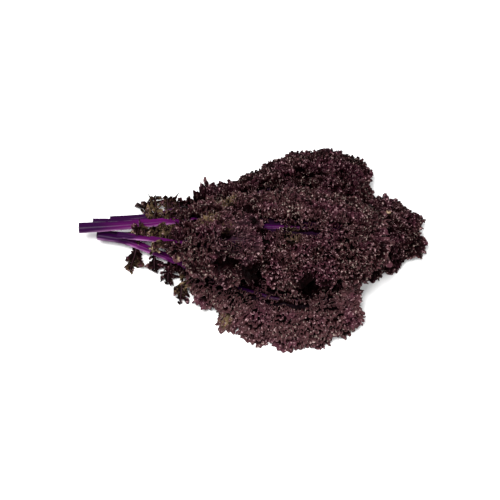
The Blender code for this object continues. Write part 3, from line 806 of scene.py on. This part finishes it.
# Adds a path on a blade as one line, or as several where it goes under a leaf with no room for a frill
def addPath(lines, blade, rows, shares, lean, reach, start, above, tone):
    place = eased(blade.sample(blade.points, rows, shares), frill["pathEven"])
    up = unit(eased(blade.sample(blade.normals, rows, shares), frill["upEven"]))
    out = unit(np.cross(unit(eased(np.gradient(place, axis=0), frill["outEven"])), up))
    for middle, spread, factor in blade.settings["trims"]:
        near = nearness(place, middle, spread)
        reach = reach * (1 + (factor - 1) * near)
        lean = lean * (1 - frill["trimLean"] * near * max(0.0, min(1.0, factor - 1)))
    lean = np.radians(lean)
    rising = up * np.cos(lean)[:, None] + out * np.sin(lean)[:, None]
    reach = cutShort(place, rising, reach, above)
    tones = blade.settings["tone"] + tone + frill["shadeTone"] * shaded(place, above)
    # painted shadows: the frills turn near black at the leaf's shadow spots, where the gaps look dark
    for middle, spread in blade.settings["darkSpots"]:
        tones = tones + frill["darkTone"] * nearness(place, middle, spread) ** 2
    tones = np.maximum(tones, -1.0)
    blush = calmAt(blade, place) * frill["blushShare"] * np.clip(1 + tones * frill["blushFade"], 0, 1)
    phase, swing = curls(place, start)
    swing = swing * np.minimum(1.0, reach / frill["fullSwing"])
    shown = np.concatenate([[0], (reach > frill["least"]).astype(int), [0]])
    starts = np.nonzero(np.diff(shown) == 1)[0]
    ends = np.nonzero(np.diff(shown) == -1)[0]
    for first, last in zip(starts, ends):
        if last - first > frill["fewestPoints"]:
            part = slice(first, last)
            lines.add(
                place[part], up=up[part], out=out[part], lean=lean[part],
                reach=eased(reach[part], frill["reachEven"]), phase=phase[part], swing=swing[part],
                tone=tones[part], blush=blush[part],
            )


def addRing(lines, blade, inset, skirt, above):
    path = ringPath(blade, inset)
    if path is None:
        return
    rows, shares, rooms = path
    lean = np.full(len(rows), np.interp(inset, frill["places"], frill["leans"]))
    reach = np.full(len(rows), np.interp(inset, frill["places"], frill["reaches"]))
    lean -= frill["closeLean"] * np.clip(1 - rooms / frill["closeWidth"], 0, 1)
    if skirt:
        lean[:] = frill["skirtLean"]
        reach[:] = frill["skirtReach"]
    lobes = np.interp(rows, np.arange(outline["rows"] + 1), blade.lobes)
    arc = lengthsAlong(blade.sample(blade.points, rows, shares))
    scallops = np.abs(np.sin(math.pi * arc / frill["scallop"] + lobes)) ** frill["scallopRound"]
    scallops = scallops - frill["scallopMiddle"]
    fade = math.exp(-inset / frill["lobeFade"])
    reach *= 1 + (frill["lobeReach"] * lobes + frill["scallopReach"] * scallops) * fade
    tone = frill["skirtTone"] if skirt else frill["marginTone"] * (inset < frill["marginWidth"])
    addPath(lines, blade, rows, shares, lean, reach, inset * frill["ringPhase"], above, tone)


# Lines on each side of the midrib, whose frills lean over it
def addRibLines(lines, blade, above):
    rows = np.arange(0, outline["rows"] * frill["ribEnd"], frill["rowStep"])
    widths = np.interp(rows, np.arange(outline["rows"] + 1), blade.widths)
    grown = np.clip(widths / frill["ribFullWidth"], frill["ribLeast"], 1.0)
    middle, spread = blade.settings["open"]
    for inset, lean in zip(frill["ribInsets"], frill["ribLeans"]):
        size = np.minimum(frill["ribFurthest"], inset / widths)
        place = blade.sample(blade.points, rows, size)
        opened = np.exp(-((place[:, 0] - middle) / spread) ** 2) * (inset < frill["openInset"])
        closed = np.exp(-(lengthsAlong(place) / frill["baseClose"]) ** 2)
        reach = frill["ribReach"] * (1 - (1 - frill["ribOpen"]) * opened) * grown
        reach = np.where(widths - inset > frill["ribRoom"], reach, 0.0) * (1 + frill["baseReach"] * closed)
        leans = lean + frill["openLean"] * opened + frill["baseLean"] * closed
        for side in (-1, 1):
            way = slice(None, None, -side)
            start = side + inset * frill["ribPhase"]
            addPath(lines, blade, rows[way], size[way] * side, leans[way], reach[way], start, above, 0.0)


# One line for each ring of a leaf, one for the skirt under its margin and three on each side of its midrib
def frillSeed(blade, above):
    lines = Lines()
    addRing(lines, blade, frill["first"], True, above)
    for ring in range(frill["most"]):
        inset = frill["first"] + frill["skirtGap"] + ring * frill["spacing"]
        addRing(lines, blade, inset, False, above)
    addRibLines(lines, blade, above)
    return lines.mesh(blade.name + "Rings")


def makeFrill(blade, above):
    seedMesh = frillSeed(blade, above)
    return grow(blade.name + "_frill", seedMesh, frillTree, frill, bladeMaterial, blade.settings["seed"])


frillTree = makeFrillTree()


# Laminas: the thin blade that the frills stand on
lamina = {
    "thickness": 0.0006, "bump": 0.0012, "bumpScale": 190.0, "ground": 0.0006,
    # painted shade: the surface is near black beside the midrib, a little paler at the margin, and the
    # violet stays narrow
    "innerRise": 0.05, "outerRise": 0.15, "ribNarrow": 9,
}


def makeLaminaTree():
    start, given = newTree("lamina", ("Bump", "Bump Scale", "Seed", "Ground"))
    moved = seeded(start.make("GeometryNodeInputPosition"), given["Seed"])
    height = (noise(start, moved, given["Bump Scale"], 1.0) - 0.5) * given["Bump"] * 2.0
    bumped = setPlace(given["Geometry"], Offset=start.make("GeometryNodeInputNormal").times(height))
    return endTree(keepAbove(bumped, given["Ground"]), given["Material"])


def makeLamina(blade):
    mesh = bpy.data.meshes.new(blade.name + "Grid")
    mesh.from_pydata(blade.points.reshape(-1, 3).tolist(), [], blade.faces((0, 3, 2, 1)))
    size = np.abs(np.broadcast_to(blade.shares, blade.points.shape[:2]))
    blush = calmAt(blade, blade.points)
    # no blush in the painted shadows of the shadow spots
    for middle, spread in blade.settings["darkSpots"]:
        blush = blush * (1 - nearness(blade.points, middle, spread))
    setField(mesh, "rise", lamina["innerRise"] + lamina["outerRise"] * size)
    setField(mesh, "blush", np.clip(blush, 0, 1))
    setField(mesh, "rib", np.clip(1 - size * lamina["ribNarrow"], 0, 1) * blade.settings["ribShow"])
    return grow(blade.name + "_lamina", mesh, laminaTree, lamina, bladeMaterial, blade.settings["seed"])


laminaTree = makeLaminaTree()


# Leaflets on the petioles: the solids' own and some smaller ones, each a short stalk in a ragged frill
leaflet = {
    "lean": 0.25, "rootShare": 0.30, "bulge": 0.9, "steps": 40, "tip": 0.97, "turns": 9, "axisGap": 0.0005,
    "frillLean": 78.0, "leanSpread": 20, "leanWaves": 300, "reachShare": 1.10, "wave": 0.0064,
    "swing": 0.30, "droop": 0.12, "sway": 0.10, "swayTurn": 3.0, "swayPhase": 900,
    "ragged": 0.45, "raggedWaves": (0.0085, 0.0053), "slant": 0.6, "slantTurn": 0.7,
    # the bare foot of a leaflet, and its own stalk
    "bare": 0.12, "long": 0.035, "bareLong": 0.48, "longRadius": 0.0019, "stalkRadius": 0.0010,
    "stalkTip": 0.0004, "stalkEnd": 0.94, "stalkSteps": 10,
    # these take the place of the frill's own
    "tooth": 0.0016, "uneven": 2.4, "wander": 0.0, "rippleSize": 0.0005,
    # the sprigs: how far apart they are, and the ranges of their rise, length and half width
    "gap": 0.0052, "gapSpread": 0.002, "past": 0.004, "onlyAbove": 0.036, "firstSize": 0.6,
    "rises": (-15.0, 55.0), "lengths": (0.011, 0.020), "halfWidths": (0.0050, 0.0085),
}


# Small leaflets where a petiole nears its blade, besides the solids' own
def addSprigs(blade):
    chance = np.random.default_rng(blade.settings["seed"] + 100)
    places = np.arange(blade.settings["sprigsFrom"], blade.start + leaflet["past"], leaflet["gap"])
    sprigs = []
    for number, place in enumerate(places):
        grown = leaflet["firstSize"] + (1 - leaflet["firstSize"]) * number / len(places)
        side = 1 if place < leaflet["onlyAbove"] else 1 - 2 * (number % 2)
        place = place + chance.uniform(-leaflet["gapSpread"], leaflet["gapSpread"])
        rise = chance.uniform(*leaflet["rises"])
        length = chance.uniform(*leaflet["lengths"]) * grown
        sprigs.append((place, side, rise, length, chance.uniform(*leaflet["halfWidths"]) * grown))
    return blade.settings["leaflets"] + tuple(sprigs)


# Points along a leaflet's middle, with its ways forward, aside and up
def leafletAxis(blade, place, side, rise, length, shares):
    along, up, across = blade.spine.frame(place)
    rise = math.radians(rise)
    growth = unit(across * side * math.cos(rise) + up * math.sin(rise) + along * leaflet["lean"])
    wide = unit(along - growth * np.dot(along, growth))
    normal = np.cross(wide, growth)
    normal = normal if normal[2] > 0 else -normal
    drop = (shares ** 2)[:, None] * np.array([0.0, 0.0, -1.0]) * length * leaflet["droop"]
    bend = np.sin(shares * leaflet["swayTurn"] + place * leaflet["swayPhase"]) * shares
    sway = wide * bend[:, None] * length * leaflet["sway"]
    axis = blade.spine.point(place) + growth * length * shares[:, None] + drop + sway
    return axis, growth, wide, normal


def leafletSeed(blade):
    chance = np.random.default_rng(blade.settings["seed"] + 200)
    lines = Lines()
    for number, (place, side, rise, length, halfWidth) in enumerate(blade.leaflets):
        bare = leaflet["bareLong"] if length > leaflet["long"] else leaflet["bare"]
        shares = np.linspace(bare, leaflet["tip"], leaflet["steps"])
        axis, growth, wide, normal = leafletAxis(blade, place, side, rise, length, shares)
        width = halfWidth * (leaflet["rootShare"] + leaflet["bulge"] * np.sin(math.pi * shares))
        turns = np.linspace(0.0, math.pi, leaflet["turns"])[1:-1]
        tipWays = wide * np.cos(turns)[:, None] + growth * np.sin(turns)[:, None]
        sides = [np.tile(wide, (len(axis), 1)), tipWays, np.tile(-wide, (len(axis), 1))]
        outwards = np.concatenate(sides)
        slant = leaflet["slant"] * (1 + np.sin(np.arange(len(outwards)) * leaflet["slantTurn"] + number))
        outwards = unit(outwards + growth * slant[:, None])
        middle = np.concatenate([axis, np.tile(axis[-1], (len(turns), 1)), axis[::-1]])
        size = np.concatenate([width, np.full(len(turns), width[-1]), width[::-1]])
        spots = middle + outwards * leaflet["axisGap"]
        arc = lengthsAlong(spots + outwards * size[:, None] * 0.5)
        coarse, fine = (arc * 2 * math.pi / wave for wave in leaflet["raggedWaves"])
        size = size * (1 + leaflet["ragged"] * (np.sin(coarse + chance.uniform(0, 6)) + np.sin(fine)))
        count = len(spots)
        lean = leaflet["frillLean"] + leaflet["leanSpread"] * np.sin(arc * leaflet["leanWaves"] + number)
        lines.add(
            spots, up=np.tile(normal, (count, 1)), out=outwards, lean=np.radians(lean),
            reach=size * leaflet["reachShare"], phase=arc * 2 * math.pi / leaflet["wave"] + number,
            swing=np.full(count, leaflet["wave"] * leaflet["swing"]),
            tone=np.full(count, frill["leafletTone"]), blush=np.zeros(count),
        )
    return lines.mesh(blade.name + "LeafletLines")


def makeLeaflets(blade):
    settings = {**frill, **leaflet}
    seed = blade.settings["seed"] + 50
    return grow(blade.name + "_leaflets", leafletSeed(blade), frillTree, settings, bladeMaterial, seed)


# Stalks: the ridged petiole, which runs on as the midrib
stalk = {
    "step": 0.0022, "sides": 22, "ridge": 0.00042, "ridges": 5.0, "groove": 0.22, "bump": 0.0006,
    "bumpScale": 260.0, "coarse": 0.004, "ground": 0.0001, "dimLength": 0.02,
    # a range gives where a value begins to count and where it counts in full
    "ridgeRange": (0.2, 1.0), "grooveRange": (0.55, 1.0), "radiusRange": (0.0012, 0.0030),
    "cutFacing": (-0.80, -0.95), "cutGrown": (0.02, 0.01),
}


def makeStalkTree():
    numbers = ("Step", "Ridge", "Ridges", "Groove", "Bump", "Ground")
    start, given = newTree("stalk", numbers, ["Sides"])
    line = start.make("GeometryNodeSetCurveNormal", {"mode": "Z_UP"}, {"Curve": evenLines(given)})
    place = start.make("GeometryNodeInputPosition")
    line = keep(line, "middle", place, "FLOAT_VECTOR")
    line = keep(line, "grown", start.make("GeometryNodeSplineParameter"))
    circle = {"Resolution": given["Sides"], "Radius": 1.0}
    ring = start.make("GeometryNodeCurvePrimitiveCircle", {}, circle)
    ring = keep(ring, "turn", start.make("GeometryNodeSplineParameter") * (2 * math.pi))
    radius = readName(start, "thick")
    ends = {"Curve": line, "Profile Curve": ring, "Scale": radius, "Fill Caps": True}
    tube = start.make("GeometryNodeCurveToMesh", {}, ends)
    facing = start.make("GeometryNodeInputNormal").part(0)
    isCut = facing.step(*stalk["cutFacing"]) * readName(start, "grown").step(*stalk["cutGrown"])
    tube = keep(tube, "cut", isCut, domain="FACE")
    turn = readName(start, "turn")
    outward = place.plus(readName(start, "middle", "FLOAT_VECTOR").times(-1.0))
    high = outward.part(2) / radius
    ridge = (turn * given["Ridges"]).cosine()
    tube = keep(tube, "ridge", ridge.step(*stalk["ridgeRange"]))
    tube = keep(tube, "side", high)
    bumps = (noise(start, place, stalk["bumpScale"]) - 0.5) * given["Bump"]
    groove = high.step(*stalk["grooveRange"]) * given["Groove"] * -1.0
    large = radius.step(*stalk["radiusRange"])
    ridged = (ridge * given["Ridge"] + bumps) / radius.math("MAXIMUM", stalk["radiusRange"][1])
    tube = setPlace(tube, Offset=outward.times(ridged * large + groove * large))
    return endTree(keepAbove(tube, given["Ground"]), given["Material"])


def makeStalk(blade):
    lines = Lines()
    distances = np.linspace(0.0, blade.midribEnd, int(blade.midribEnd / stalk["coarse"]))
    lines.add(blade.spine.point(distances), thick=blade.stemRadius(distances))
    shares = np.linspace(0.0, leaflet["stalkEnd"], leaflet["stalkSteps"])
    for place, side, rise, length, _ in blade.leaflets:
        axis = leafletAxis(blade, place, side, rise, length, shares)[0]
        foot = leaflet["longRadius"] if length > leaflet["long"] else leaflet["stalkRadius"]
        lines.add(axis, thick=np.interp(shares, [0, 1], [foot, leaflet["stalkTip"]]))
    mesh = lines.mesh(blade.name + "Line")
    # painted shade: past the blade's start the midrib darkens as shade under the frills, the more so the
    # less violet it shows
    past = np.array(lines.points)[:, 0] - blade.spine.point(blade.start)[0]
    ribShade = (1 - blade.settings["ribShow"]) * np.clip(past / stalk["dimLength"], 0, 1)
    setField(mesh, "dim", blade.settings["dim"] + ribShade)
    return grow(blade.name + "_stalk", mesh, stalkTree, stalk, stemMaterial)


stalkTree = makeStalkTree()


def makeLeaves():
    trees = {name: blade.tree() for name, blade in blades.items()}
    order = list(blades)
    for place, (name, blade) in enumerate(blades.items()):
        above = [trees[other] for other in order[place + 1:]]
        blade.leaflets = addSprigs(blade)
        pieces = (
            (makeLamina(blade), "blade", "_blade"), (makeFrill(blade, above), "blade", "_blade"),
            (makeStalk(blade), "stem", "_stem"), (makeLeaflets(blade), "blade", "_stem"),
        )
        for piece, slot, node in pieces:
            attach(piece, "root")
            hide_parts(name + node)


makeLeaves()
print("leaves made")


# Stage: a plain pale floor, soft light and the photograph's camera
stage = {
    "floorSize": 6.0, "floorColour": (0.86, 0.86, 0.86), "floorRoughness": 0.8, "worldStrength": 0.55,
    "target": (0.0, -0.0082, 0.0162), "elevation": 65.0, "distance": 1.30, "lens": 85.0, "sensor": 36.0,
}
lamps = (
    # name, place, size, power
    ("keyLight", (-0.30, -0.20, 1.45), 0.70, 36.0),
    ("fillLight", (0.90, -0.80, 1.10), 1.20, 9.0),
)


def makeStage():
    bpy.ops.mesh.primitive_plane_add(size=stage["floorSize"])
    floor = bpy.context.object
    floor.name = "floor"
    material, _, shader = newMaterial("paleFloor", 0.5)
    shader.inputs["Roughness"].default_value = stage["floorRoughness"]
    shader.inputs["Base Color"].default_value = (*stage["floorColour"], 1.0)
    floor.data.materials.append(material)
    world = bpy.data.worlds.new("softSky")
    bpy.context.scene.world = world
    world.use_nodes = True
    world.node_tree.nodes["Background"].inputs["Color"].default_value = (1.0, 1.0, 1.0, 1.0)
    world.node_tree.nodes["Background"].inputs["Strength"].default_value = stage["worldStrength"]
    for name, place, size, power in lamps:
        data = bpy.data.lights.new(name, "AREA")
        data.size = size
        data.energy = power
        lamp = addObject(name, data)
        lamp.location = place
        lamp.rotation_euler = Vector(place).to_track_quat("Z", "Y").to_euler()


def makeCamera():
    data = bpy.data.cameras.new("camera")
    data.lens = stage["lens"]
    data.sensor_width = stage["sensor"]
    camera = addObject("camera", data)
    high = math.radians(stage["elevation"])
    back = Vector((0.0, -math.cos(high), math.sin(high)))
    camera.location = Vector(stage["target"]) + back * stage["distance"]
    camera.rotation_euler = back.to_track_quat("Z", "Y").to_euler()
    bpy.context.scene.camera = camera


makeStage()
makeCamera()
bpy.context.scene.view_settings.view_transform = "Standard"
print("stage made")
